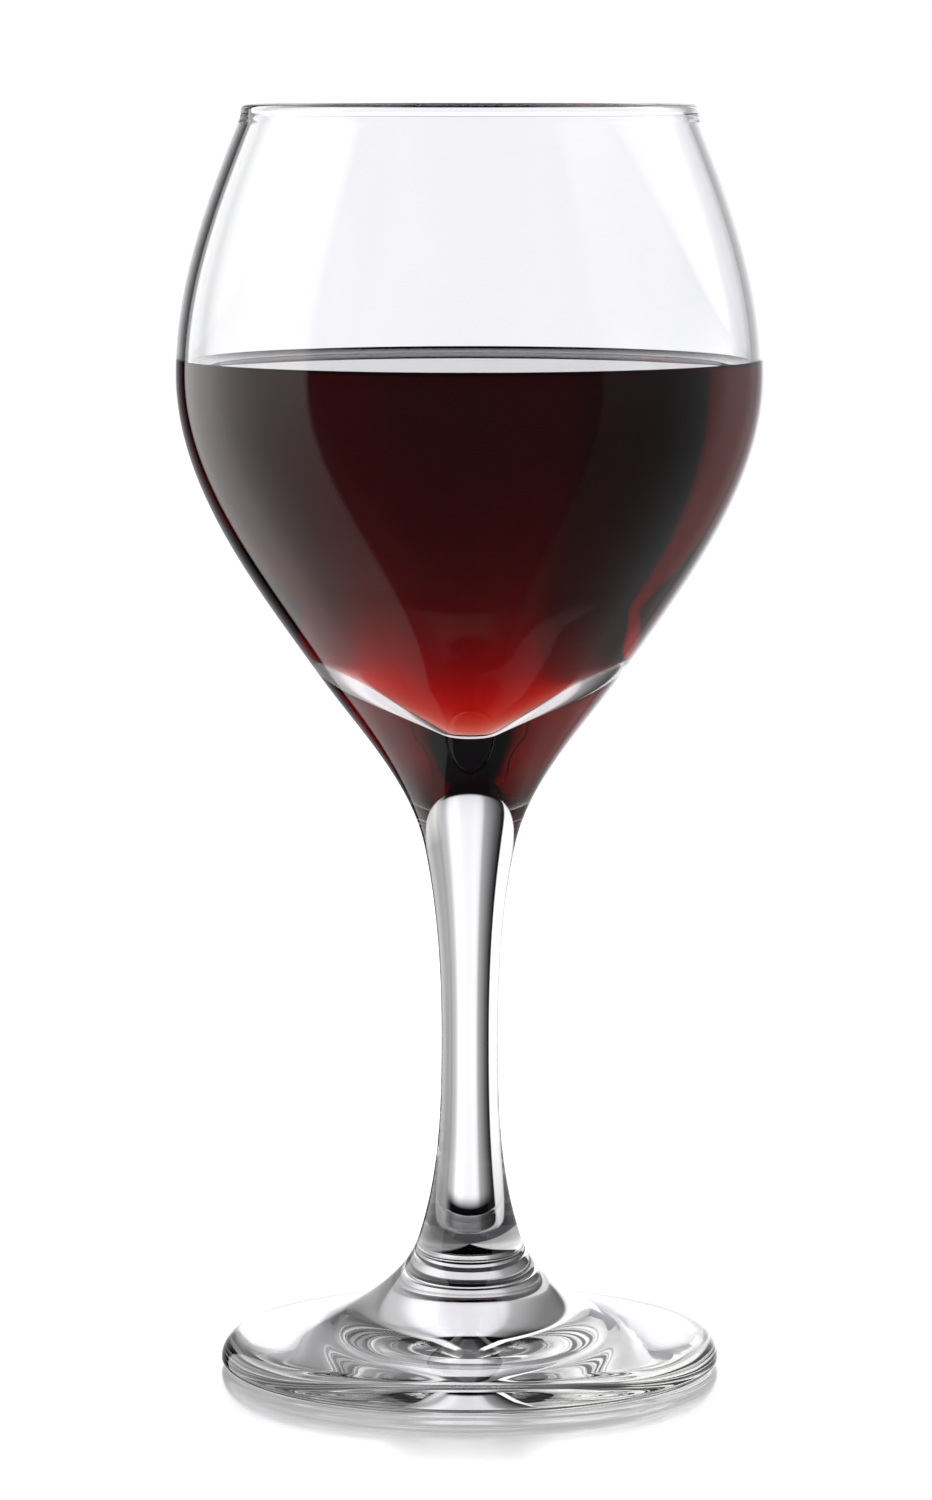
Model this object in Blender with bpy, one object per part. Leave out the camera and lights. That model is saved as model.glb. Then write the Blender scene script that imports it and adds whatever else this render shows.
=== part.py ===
"""Glass of red wine: a stemmed glass turned from one outline, and the wine that stands in its bowl.

Metres, +Z up. The origin is the centre of the ring that the glass stands on.
"""

from math import atan2, cos, hypot, pi, radians, sin

import bmesh
import bpy

MM = 0.001
SIDES = 60
FLATNESS = 0.15  # how far a straight run may stray from the curve, in mm

# Outside of the glass from the foot's edge up to the rim, in mm and degrees.
# Each station is a radius, a height and the way the outline runs there: 90 is straight up, 180 inwards.
OUTSIDE = [
    (39.5, 1.4, 90),  # edge of the foot, its widest ring
    (37.0, 4.8, 165),  # shoulder where the edge rolls over
    (18.8, 9.4, 149),  # the foot begins to sweep up
    (8.3, 20.0, 109),  # root of the stem
    (4.5, 53.0, 90),  # waist of the stem
    (7.1, 82.6, 78.5),  # the stem opens into the bowl
    (23.8, 110.1, 54.6),  # flank of the bowl
    (46.0, 157.2, 90),  # belly, the bowl's widest ring
    (35.85, 197.0, 112.4),  # just under the rim
]

# Inside of the bowl from its lowest point up to the rim, in the same terms: a cone with a rounded tip
# over the thick solid base, then a wall that thins from 4 mm on the flank to 2 mm at belly and rim.
INSIDE = [
    (0.0, 105.1, 0),
    (3.0, 105.9, 41),
    (18.0, 116.8, 36),
    (31.4, 127.5, 53),
    (44.0, 157.2, 90),
    (33.85, 196.8, 112.4),
]

# Rim: a fire-polished bead
BEAD_RADIUS = 1.0
BEAD_CENTRE = (34.7, 198.25)
BEAD_FROM, BEAD_TO = -15, 195  # degrees round the bead, from the outside over the top to the inside
BEAD_STEPS = 6

# Underside of the foot: a flat ring that stands on the table round a shallow hollow
RING_OUTER = 37.6
RING_INNER = 35.6
HOLLOW_RISE = 2.4
HOLLOW_STEPS = 4
EDGE_STEPS = 3

# Wine
WINE_LEVEL = 158.0
WINE_GAP = 0.3  # clearance between the wine and the wall


def curve(stations, steps=40):
    """Smooth outline through the stations, each span a cubic curve with handles a third of its chord."""
    points = [stations[0][:2]]
    for (r0, z0, way0), (r1, z1, way1) in zip(stations, stations[1:]):
        handle = hypot(r1 - r0, z1 - z0) / 3
        ra = r0 + handle * cos(radians(way0))
        za = z0 + handle * sin(radians(way0))
        rb = r1 - handle * cos(radians(way1))
        zb = z1 - handle * sin(radians(way1))
        for i in range(1, steps + 1):
            t = i / steps
            a, b, c, d = (1 - t) ** 3, 3 * t * (1 - t) ** 2, 3 * t * t * (1 - t), t**3
            points.append((a * r0 + b * ra + c * rb + d * r1, a * z0 + b * za + c * zb + d * z1))
    return points


def thinned(points):
    """The fewest of these points whose straight runs stay within FLATNESS of all of them."""
    (r0, z0), (r1, z1) = points[0], points[-1]
    chord = hypot(r1 - r0, z1 - z0)
    strays = [abs((r1 - r0) * (z0 - z) - (r0 - r) * (z1 - z0)) / chord for r, z in points]
    worst = max(range(len(points)), key=strays.__getitem__)
    if strays[worst] <= FLATNESS:
        return [points[0], points[-1]]
    return thinned(points[: worst + 1])[:-1] + thinned(points[worst:])


def arc(centre, radius_r, radius_z, start, end, steps):
    """Points round an ellipse, from one angle in degrees to another."""
    turns = [radians(start + (end - start) * i / steps) for i in range(steps + 1)]
    return [(centre[0] + radius_r * cos(a), centre[1] + radius_z * sin(a)) for a in turns]


def foot_underside():
    """The hollow's shallow dome from the axis out, the flat ring, and the round edge up to the widest ring."""
    reach = [RING_INNER * i / HOLLOW_STEPS for i in range(HOLLOW_STEPS + 1)]
    dome = [(r, HOLLOW_RISE * (1 - (r / RING_INNER) ** 2)) for r in reach]
    edge_radius, edge_height, _ = OUTSIDE[0]
    edge = arc((RING_OUTER, edge_height), edge_radius - RING_OUTER, edge_height, -90, 0, EDGE_STEPS)
    return dome + edge[:-1]


def inset(points, distance):
    """The outline moved towards the axis and up, square to its own run; the point on the axis stays on it."""
    moved = []
    for i, (r, z) in enumerate(points):
        before = points[max(i - 1, 0)]
        after = points[min(i + 1, len(points) - 1)]
        way = atan2(after[1] - before[1], after[0] - before[0]) if i else 0.0
        moved.append((max(r - distance * sin(way), 0.0), z + distance * cos(way)))
    return moved


def cut_at(points, level):
    """The part of a rising outline below the level, ending exactly on it."""
    below = [p for p in points if p[1] < level]
    (r0, z0), (r1, z1) = points[len(below) - 1], points[len(below)]
    return below + [(r0 + (r1 - r0) * (level - z0) / (z1 - z0), level)]


def material(name, colour, roughness, alpha=1.0):
    made = bpy.data.materials.new(name)
    made.use_nodes = True
    shader = made.node_tree.nodes["Principled BSDF"]
    shader.inputs["Base Color"].default_value = (*colour, 1)
    shader.inputs["Roughness"].default_value = roughness
    shader.inputs["Metallic"].default_value = 0.0
    shader.inputs["Alpha"].default_value = alpha
    return made


def turned(name, outline, finish):
    """A closed body turned about Z from an outline in mm that starts and ends on the axis."""
    shape = bmesh.new()
    verts = [shape.verts.new((r * MM, 0, z * MM)) for r, z in outline]
    edges = [shape.edges.new(pair) for pair in zip(verts, verts[1:])]
    bmesh.ops.spin(
        shape,
        geom=verts + edges,
        axis=(0, 0, 1),
        cent=(0, 0, 0),
        angle=2 * pi,
        steps=SIDES,
        use_merge=True,
    )
    bmesh.ops.remove_doubles(shape, verts=shape.verts, dist=0.00001)
    bmesh.ops.recalc_face_normals(shape, faces=shape.faces)
    mesh = bpy.data.meshes.new(name)
    shape.to_mesh(mesh)
    shape.free()
    mesh.materials.append(finish)
    mesh.shade_smooth()
    mesh.set_sharp_from_angle(angle=radians(40))
    body = bpy.data.objects.new(name, mesh)
    bpy.context.scene.collection.objects.link(body)
    return body


for leftover in list(bpy.data.objects):
    bpy.data.objects.remove(leftover)

outside = thinned(curve(OUTSIDE))
inside = thinned(curve(INSIDE))
bead = arc(BEAD_CENTRE, BEAD_RADIUS, BEAD_RADIUS, BEAD_FROM, BEAD_TO, BEAD_STEPS)

clear_glass = material("clear_glass", (0.86, 0.88, 0.88), 0.02, alpha=0.35)
red_wine = material("red_wine", (0.055, 0.002, 0.004), 0.03)

turned("wine_glass", foot_underside() + outside + bead + inside[::-1], clear_glass)

surface = cut_at(inset(inside, WINE_GAP), WINE_LEVEL)
turned("red_wine", surface + [(0.0, WINE_LEVEL)], red_wine)
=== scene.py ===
from math import cos, exp, hypot, pi, radians, sin

import bmesh
import bpy
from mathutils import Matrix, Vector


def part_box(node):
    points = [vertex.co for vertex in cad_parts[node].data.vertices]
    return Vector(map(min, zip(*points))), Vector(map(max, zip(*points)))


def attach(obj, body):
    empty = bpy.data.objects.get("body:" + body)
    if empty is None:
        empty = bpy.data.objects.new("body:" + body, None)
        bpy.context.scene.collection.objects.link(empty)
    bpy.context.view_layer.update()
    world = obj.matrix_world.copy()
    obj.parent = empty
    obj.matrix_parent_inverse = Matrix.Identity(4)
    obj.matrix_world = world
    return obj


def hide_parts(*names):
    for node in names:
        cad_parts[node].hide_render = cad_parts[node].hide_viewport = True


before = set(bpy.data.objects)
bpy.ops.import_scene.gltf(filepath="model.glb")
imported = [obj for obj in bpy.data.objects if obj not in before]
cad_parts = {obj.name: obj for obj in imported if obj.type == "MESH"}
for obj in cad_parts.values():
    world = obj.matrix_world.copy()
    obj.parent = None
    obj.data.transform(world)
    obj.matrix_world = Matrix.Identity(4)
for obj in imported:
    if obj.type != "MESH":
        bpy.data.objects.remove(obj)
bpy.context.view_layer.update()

# Camera: a long lens at rim height, 0.94 m from the glass and looking 6.4 degrees down, as in the photograph.
# The bounces let light cross every wall of the glass and be mirrored inside it before it is given up.
MM = 0.001
LENS = 143.4
SENSOR = 36
STAND_OFF = 935 * MM
EYE_HEIGHT = 203 * MM
EYE_SIDE = -0.6 * MM
LOOK_DOWN = 6.402
GLASS_BOUNCES = 24
MIRROR_BOUNCES = 12

camera_data = bpy.data.cameras.new("camera")
camera_data.lens = LENS
camera_data.sensor_width = SENSOR
camera = bpy.data.objects.new("camera", camera_data)
camera.location = (EYE_SIDE, -STAND_OFF, EYE_HEIGHT)
camera.rotation_euler = (radians(90 - LOOK_DOWN), 0, 0)
bpy.context.scene.collection.objects.link(camera)
bpy.context.scene.camera = camera
bpy.context.scene.view_settings.view_transform = "Standard"
bpy.context.scene.cycles.use_denoising = True
bpy.context.scene.cycles.max_bounces = GLASS_BOUNCES
bpy.context.scene.cycles.transmission_bounces = GLASS_BOUNCES
bpy.context.scene.cycles.glossy_bounces = MIRROR_BOUNCES


# Studio: a bright field. A white screen stands behind the glass and a tall soft box at each side. The dark
# gaps between them, and the dim room on the camera's side, are what draws the dark lines in clear glass.
def linear(hex_colour):
    """An sRGB hex colour such as "#f2f0e8" as a linear RGBA tuple."""
    shares = [int(hex_colour[i : i + 2], 16) / 255 for i in (1, 3, 5)]
    return (*[c / 12.92 if c <= 0.04045 else ((c + 0.055) / 1.055) ** 2.4 for c in shares], 1.0)


def add_node(tree, kind, inputs=None, **settings):
    """Adds a node, sets its properties, and gives each named or numbered input a value or a link."""
    made = tree.nodes.new(kind)
    for name, value in settings.items():
        setattr(made, name, value)
    for name, value in (inputs or {}).items():
        if isinstance(value, bpy.types.NodeSocket):
            tree.links.new(value, made.inputs[name])
        else:
            made.inputs[name].default_value = value
    return made


# Each light: its tint, how bright it is round the room, in degrees from the camera's own direction with minus
# to the left, and what share of that it keeps at each height, in degrees up from the horizon.
LIGHTS = [
    (  # the screen behind, fading faster to the left
        "#fbf9ff",
        [(-180, 1.19), (-175, 1.26), (-171, 1.08), (-168.5, 0.5), (-164, 0.34), (-158, 0.14), (-151, 0)]
        + [(150, 0), (155, 0.45), (160, 0.8), (164, 1.35), (169, 1.5), (174, 1.22), (180, 1.19)],
        [(-90, 0), (-28, 0), (-25, 1), (41, 1), (44, 0), (90, 0)],
    ),
    (  # the soft box on the left, brightest in its far half
        "#ffffff",
        [(-180, 0), (-149, 0), (-147, 1.4), (-121, 1.6), (-110, 1.3), (-91, 0.95), (-66.5, 0.85)]
        + [(-65.5, 0), (180, 0)],
        [(-90, 0.5), (-45, 0.55), (-20, 0.8), (-6, 1), (12, 1.1), (40, 1.3), (68, 1.3), (74, 0), (90, 0)],
    ),
    (  # the weaker one on the right, brightest near its top
        "#ffffff",
        [(-180, 0), (51, 0), (53, 0.19), (75, 0.19), (91, 0.24), (110, 0.38), (122, 0.52), (138, 0.38)]
        + [(148, 0.45), (158, 0), (180, 0)],
        [(-90, 0.6), (-20, 0.8), (-6, 1), (12, 1.1), (40, 3), (68, 4), (74, 0), (90, 0)],
    ),
    (  # the dim room on the camera's side
        "#efe7f7",
        [(-180, 0), (-66, 0), (-65, 0.12), (51, 0.12), (52, 0), (180, 0)],
        [(-90, 0.8), (-4, 1), (8, 0.4), (60, 0.2), (90, 0.2)],
    ),
]

world = bpy.data.worlds.new("studio")
world.use_nodes = True
tree = world.node_tree
tree.nodes.clear()
way = add_node(tree, "ShaderNodeTexCoord")
axes = add_node(tree, "ShaderNodeSeparateXYZ", {0: way.outputs["Generated"]})
towards = add_node(tree, "ShaderNodeMath", {0: axes.outputs["Y"], 1: -1.0}, operation="MULTIPLY")
bearing = add_node(
    tree,
    "ShaderNodeMath",
    {0: axes.outputs["X"], 1: towards.outputs[0]},
    operation="ARCTAN2",
)
rise = add_node(tree, "ShaderNodeMath", {0: axes.outputs["Z"]}, operation="ARCSINE")
total = (0, 0, 0)
for tint, round_stops, rise_stops in LIGHTS:
    lit = linear(tint)[:3]
    for angle, reach, stops in ((bearing, 180, round_stops), (rise, 90, rise_stops)):
        share = add_node(
            tree,
            "ShaderNodeMapRange",
            {0: angle.outputs[0], 1: -radians(reach), 2: radians(reach)},
        )
        level = add_node(tree, "ShaderNodeValToRGB", {0: share.outputs[0]})
        elements = level.color_ramp.elements
        for stop, _ in stops[1:-1]:
            elements.new((stop + reach) / (2 * reach))
        for element, (_, value) in zip(elements, stops):
            element.color = (value, value, value, 1)
        kept = add_node(tree, "ShaderNodeVectorMath", {0: lit, 1: level.outputs[0]}, operation="MULTIPLY")
        lit = kept.outputs[0]
    total = add_node(tree, "ShaderNodeVectorMath", {0: total, 1: lit}, operation="ADD").outputs[0]

# The camera sees plain white behind the glass, and every other ray sees the lights.
light = add_node(tree, "ShaderNodeBackground", {"Color": total, "Strength": 1.0})
white = add_node(tree, "ShaderNodeBackground", {"Color": (1, 1, 1, 1), "Strength": 1.0})
ray = add_node(tree, "ShaderNodeLightPath")
sky = add_node(
    tree,
    "ShaderNodeMixShader",
    {0: ray.outputs["Is Camera Ray"], 1: light.outputs[0], 2: white.outputs[0]},
)
add_node(tree, "ShaderNodeOutputWorld", {0: sky.outputs[0]})
bpy.context.scene.world = world

# Floor: a lacquered white table, made to read as white by a painted glow, a white light of its own that is
# dimmer near the foot. Its gloss mirrors the foot and is lost in the painted glow a hand's breadth away, and
# the table itself fades out far behind. What the glass bends or mirrors from below is the studio's own
# light, so those rays pass through the table.
FLOOR_RADIUS = 3.0
FLOOR_FADE = 2.0
FLOOR_SIDES = 96
FLOOR_DROP = 0.02 * MM
MIRROR_FROM, MIRROR_TO = 50 * MM, 84 * MM
MIRROR_SHARE = 0.4
# Painted glow of the table, near the foot and far from it: the dimmer ring by the foot shows as painted shade
# where its mirror sees dark.
PAINTED_GLOW_NEAR, PAINTED_GLOW_FAR = 0.36, 1.0
LACQUER_ROUGHNESS = 0.24
LACQUER_IOR = 1.5
GRAIN_SIZE = 6 * MM
GRAIN_LOW, GRAIN_HIGH = 0.3, 0.7
POLISH_FINE, POLISH_DULL = 0.07, 0.12

shape = bmesh.new()
bmesh.ops.create_circle(shape, cap_ends=True, radius=FLOOR_RADIUS, segments=FLOOR_SIDES)
floor_mesh = bpy.data.meshes.new("floor")
shape.to_mesh(floor_mesh)
shape.free()
floor = bpy.data.objects.new("floor", floor_mesh)
floor.location = (0, 0, -FLOOR_DROP)
bpy.context.scene.collection.objects.link(floor)
floor.visible_glossy = False
floor.visible_transmission = False

# White lacquer, sprayed and polished: to the eye a soft, milky mirror under a clearer one, whose shine
# varies a little over each 6 mm. Over it lies a painted glow, white light of its own, dimmer near the foot.
lacquer = bpy.data.materials.new("white_lacquer_painted_glow")
lacquer.use_nodes = True
tree = lacquer.node_tree
tree.nodes.clear()
place = add_node(tree, "ShaderNodeTexCoord")
away = add_node(tree, "ShaderNodeVectorMath", {0: place.outputs["Object"]}, operation="LENGTH")
distance = away.outputs["Value"]
fade = add_node(tree, "ShaderNodeMapRange", {0: distance, 1: FLOOR_FADE, 2: FLOOR_RADIUS, 3: 1.0, 4: 0.0})
gloss = add_node(tree, "ShaderNodeMapRange", {0: distance, 1: MIRROR_FROM, 2: MIRROR_TO, 3: 1.0, 4: 0.0})
mirror = add_node(tree, "ShaderNodeMath", {0: gloss.outputs[0], 1: MIRROR_SHARE}, operation="MULTIPLY")
# Painted glow: white emission, weaker where the mirror is strong near the foot; where that mirror sees dark,
# the weaker ring reads as painted shade round the foot.
painted_glow = add_node(
    tree,
    "ShaderNodeMapRange",
    {0: gloss.outputs[0], 1: 0.0, 2: 1.0, 3: PAINTED_GLOW_FAR, 4: PAINTED_GLOW_NEAR},
)
grain = add_node(
    tree,
    "ShaderNodeTexNoise",
    {"Vector": place.outputs["Object"], "Scale": 1 / GRAIN_SIZE, "Detail": 3.0},
)
polish = add_node(
    tree,
    "ShaderNodeMapRange",
    {0: grain.outputs[0], 1: GRAIN_LOW, 2: GRAIN_HIGH, 3: POLISH_FINE, 4: POLISH_DULL},
)
surface = add_node(
    tree,
    "ShaderNodeBsdfPrincipled",
    {
        "Base Color": linear("#c8c8c8"),
        "Metallic": mirror.outputs[0],
        "Roughness": LACQUER_ROUGHNESS,
        "IOR": LACQUER_IOR,
        "Alpha": fade.outputs[0],
        "Coat Weight": gloss.outputs[0],
        "Coat Roughness": polish.outputs[0],
        "Emission Color": (1, 1, 1, 1),
        "Emission Strength": painted_glow.outputs[0],
    },
)
add_node(tree, "ShaderNodeOutputMaterial", {0: surface.outputs[0]})
floor_mesh.materials.append(lacquer)

# Stemmed glass: soda-lime glass, pressed and blown in one piece, its rim melted to a round bead.
# The outline repeats the frame's own stations: a radius and a height in mm, and the way it runs there,
# where 90 degrees is straight up and 180 is towards the axis.
OUTSIDE = [
    (39.5, 1.4, 90),  # edge of the foot, its widest ring
    (37.0, 4.8, 165),  # shoulder where the edge rolls over
    (18.8, 9.4, 149),  # the foot begins to sweep up
    (8.3, 20.0, 109),  # root of the stem
    (4.5, 53.0, 90),  # waist of the stem
    (7.1, 82.6, 78.5),  # the stem opens into the bowl
    (23.8, 110.1, 54.6),  # flank of the bowl
    (46.0, 157.2, 90),  # belly, the bowl's widest ring
    (35.85, 197.0, 112.4),  # just under the rim
]
INSIDE = [
    (0.0, 105.1, 0),  # lowest point, a small rounded tip
    (3.0, 105.9, 41),
    (18.0, 116.8, 36),  # cone over the solid base
    (31.4, 127.5, 53),  # the wall sets out, 4 mm thick
    (44.0, 157.2, 90),  # belly, 2 mm thick
    (33.85, 196.8, 112.4),  # just under the rim
]
STEP = 0.8  # mm between points along the outline
FEWEST_STEPS = 6  # in one span of it
TURNS = 200
WELD = 0.001 * MM
BEAD_RADIUS = 1.0
BEAD_CENTRE = (34.7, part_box("wine_glass")[1].z / MM - BEAD_RADIUS)
BEAD_FROM, BEAD_TO = -15, 195  # degrees, from the outside over the top to the inside
BEAD_STEPS = 24
RING_INNER = 35.6
RING_OUTER = 37.6
EDGE_STEPS = 10
HOLLOW_RISE = 2.4
HOLLOW_STEPS = 24


def curve(stations):
    """Smooth outline through the stations, each span a cubic curve with handles a third of its chord."""
    points = [stations[0][:2]]
    for (r0, z0, way0), (r1, z1, way1) in zip(stations, stations[1:]):
        chord = hypot(r1 - r0, z1 - z0)
        ra = r0 + chord / 3 * cos(radians(way0))
        za = z0 + chord / 3 * sin(radians(way0))
        rb = r1 - chord / 3 * cos(radians(way1))
        zb = z1 - chord / 3 * sin(radians(way1))
        count = max(FEWEST_STEPS, round(chord / STEP))
        for i in range(1, count + 1):
            t = i / count
            a, b, c, d = (1 - t) ** 3, 3 * t * (1 - t) ** 2, 3 * t * t * (1 - t), t**3
            points.append((a * r0 + b * ra + c * rb + d * r1, a * z0 + b * za + c * zb + d * z1))
    return points


def arc(centre, radius_r, radius_z, start, end, steps):
    """Points round an ellipse, from one angle in degrees to another."""
    turns = [radians(start + (end - start) * i / steps) for i in range(steps + 1)]
    return [(centre[0] + radius_r * cos(a), centre[1] + radius_z * sin(a)) for a in turns]


def turned(name, outline, finish):
    """A closed piece turned about Z from an outline in mm that starts and ends on the axis."""
    shape = bmesh.new()
    verts = [shape.verts.new((r * MM, 0, z * MM)) for r, z in outline]
    edges = [shape.edges.new(pair) for pair in zip(verts, verts[1:])]
    bmesh.ops.spin(
        shape,
        geom=verts + edges,
        axis=(0, 0, 1),
        cent=(0, 0, 0),
        angle=2 * pi,
        steps=TURNS,
        use_merge=True,
    )
    bmesh.ops.remove_doubles(shape, verts=shape.verts, dist=WELD)
    bmesh.ops.recalc_face_normals(shape, faces=shape.faces)
    mesh = bpy.data.meshes.new(name)
    shape.to_mesh(mesh)
    shape.free()
    mesh.materials.append(finish)
    mesh.shade_smooth()
    piece = bpy.data.objects.new(name, mesh)
    bpy.context.scene.collection.objects.link(piece)
    return piece


def mark_faces(mesh, name, test):
    """Gives each face a number that the material can read: 1 where the test holds, or else 0."""
    marks = mesh.attributes.new(name, "FLOAT", "FACE")
    for face, mark in zip(mesh.polygons, marks.data):
        mark.value = float(test(face))


# Polished soda-lime glass: to the eye quite clear, with very faint upright streaks and a trace of grey in
# the thick parts. Where wine wets the wall, light bends only by the step from glass to wine, so the inside
# of the wall all but vanishes there.
GLASS_IOR = 1.517
WINE_IOR = 1.345
STREAK_WIDTH = 9 * MM
STREAK_SQUEEZE = 0.25  # along the axis, which draws each streak out to four times its width
GLASS_DEPTH = (0.03, 0.03, 0.0, 1)  # shares of red, green and blue that the density below leaves alone
GLASS_DENSITY = 7.0

soda_lime = bpy.data.materials.new("soda_lime_glass")
soda_lime.use_nodes = True
tree = soda_lime.node_tree
tree.nodes.clear()
place = add_node(tree, "ShaderNodeTexCoord")
along = add_node(
    tree,
    "ShaderNodeMapping",
    {"Vector": place.outputs["Object"], "Scale": (1.0, 1.0, STREAK_SQUEEZE)},
)
streaks = add_node(
    tree,
    "ShaderNodeTexNoise",
    {"Vector": along.outputs[0], "Scale": 1 / STREAK_WIDTH, "Detail": 3.0},
)
tint = add_node(
    tree,
    "ShaderNodeMix",
    {0: streaks.outputs[0], 6: linear("#ffffff"), 7: linear("#f9fbfa")},
    data_type="RGBA",
)
wetted = add_node(tree, "ShaderNodeAttribute", attribute_name="wetted")
bending = add_node(
    tree,
    "ShaderNodeMapRange",
    {0: wetted.outputs["Fac"], 1: 0.0, 2: 1.0, 3: GLASS_IOR, 4: GLASS_IOR / WINE_IOR},
)
skin = add_node(
    tree,
    "ShaderNodeBsdfPrincipled",
    {"Base Color": tint.outputs[2], "Roughness": 0.0, "IOR": bending.outputs[0], "Transmission Weight": 1.0},
)
depth = add_node(tree, "ShaderNodeVolumeAbsorption", {"Color": GLASS_DEPTH, "Density": GLASS_DENSITY})
add_node(tree, "ShaderNodeOutputMaterial", {0: skin.outputs[0], 1: depth.outputs[0]})

reach = [RING_INNER * i / HOLLOW_STEPS for i in range(HOLLOW_STEPS + 1)]
hollow = [(r, HOLLOW_RISE * (1 - (r / RING_INNER) ** 2)) for r in reach]
edge_radius, edge_height, _ = OUTSIDE[0]
edge = arc((RING_OUTER, edge_height), edge_radius - RING_OUTER, edge_height, -90, 0, EDGE_STEPS)
bead = arc(BEAD_CENTRE, BEAD_RADIUS, BEAD_RADIUS, BEAD_FROM, BEAD_TO, BEAD_STEPS)
inside = curve(INSIDE)
glass = turned("stemmed_glass", hollow + edge[:-1] + curve(OUTSIDE) + bead + inside[::-1], soda_lime)

# The wine's surface stands a little above the frame's level, and its edge climbs the wall.
LEVEL_LIFT = 0.6
WINE_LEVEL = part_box("red_wine")[1].z / MM + LEVEL_LIFT
MENISCUS_RISE = 1.3
BOWL_FROM = 100 * MM  # below all of the bowl's inside, and above all of the foot's hollow
wet = max(i for i, (_, z) in enumerate(inside) if z < WINE_LEVEL + MENISCUS_RISE)


def touches_wine(face):
    """Whether a face of the glass faces the axis, between the bowl's lowest point and the wine's edge."""
    faces_axis = face.normal.x * face.center.x + face.normal.y * face.center.y < 0
    return faces_axis and BOWL_FROM < face.center.z < inside[wet][1] * MM


mark_faces(glass.data, "wetted", touches_wine)
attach(glass, "root")
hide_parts("wine_glass")

# Red wine: poured into the bowl to just above its widest ring. It reaches just into the wall, so that no
# air shows between, and its surface climbs the wall in a thin meniscus.
INTO_WALL = 0.03
MENISCUS_REACH = 1.7
RING_GROWTH = 0.1  # mm from the wall to the surface's first ring; ring i is i squared times as far in
FACES_UP = 0.5  # least upright share of a face's normal on the surface


def offset(points, distance):
    """The outline moved outwards by a distance, square to its own run; the point on the axis stays on it."""
    moved = []
    for i, (r, z) in enumerate(points):
        (r0, z0), (r1, z1) = points[max(i - 1, 0)], points[min(i + 1, len(points) - 1)]
        run = hypot(r1 - r0, z1 - z0)
        moved.append((r + distance * (z1 - z0) / run if i else 0.0, z - distance * (r1 - r0) / run))
    return moved


# Red wine, still and clear: to the eye nearly black where it is deep and orange-red where it is thin, with
# very faint swirls. Light bends where the wine meets air, and not where it meets the wall, because the
# glass has that step.
NO_BEND = 1.0001
SWIRL_SIZE = 7 * MM
SWIRL_TWIST = 1.5
WINE_DEPTH = (0.875, 0.25, 0.12, 1)  # shares of red, green and blue that the density below leaves alone
WINE_DENSITY = 400.0

wine = bpy.data.materials.new("red_wine")
wine.use_nodes = True
tree = wine.node_tree
tree.nodes.clear()
place = add_node(tree, "ShaderNodeTexCoord")
open_face = add_node(tree, "ShaderNodeAttribute", attribute_name="open_to_air")
bending = add_node(
    tree,
    "ShaderNodeMapRange",
    {0: open_face.outputs["Fac"], 1: 0.0, 2: 1.0, 3: NO_BEND, 4: WINE_IOR},
)
swirls = add_node(
    tree,
    "ShaderNodeTexNoise",
    {"Vector": place.outputs["Object"], "Scale": 1 / SWIRL_SIZE, "Distortion": SWIRL_TWIST},
)
film = add_node(
    tree,
    "ShaderNodeMix",
    {0: swirls.outputs[0], 6: linear("#ffffff"), 7: linear("#f9f5f6")},
    data_type="RGBA",
)
skin = add_node(
    tree,
    "ShaderNodeBsdfPrincipled",
    {"Base Color": film.outputs[2], "Roughness": 0.0, "IOR": bending.outputs[0], "Transmission Weight": 1.0},
)
depth = add_node(tree, "ShaderNodeVolumeAbsorption", {"Color": WINE_DEPTH, "Density": WINE_DENSITY})
add_node(tree, "ShaderNodeOutputMaterial", {0: skin.outputs[0], 1: depth.outputs[0]})

wall = offset(inside, INTO_WALL)[: wet + 1]
lip_radius, lip_height = wall[-1]
top = []
for i in range(1, int((lip_radius / RING_GROWTH) ** 0.5) + 1):
    away = RING_GROWTH * i * i
    top.append((lip_radius - away, WINE_LEVEL + (lip_height - WINE_LEVEL) * exp(-away / MENISCUS_REACH)))
top.append((0.0, WINE_LEVEL))
liquid = turned("poured_wine", wall + top, wine)
mark_faces(liquid.data, "open_to_air", lambda face: face.normal.z > FACES_UP)
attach(liquid, "root")
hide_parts("red_wine")
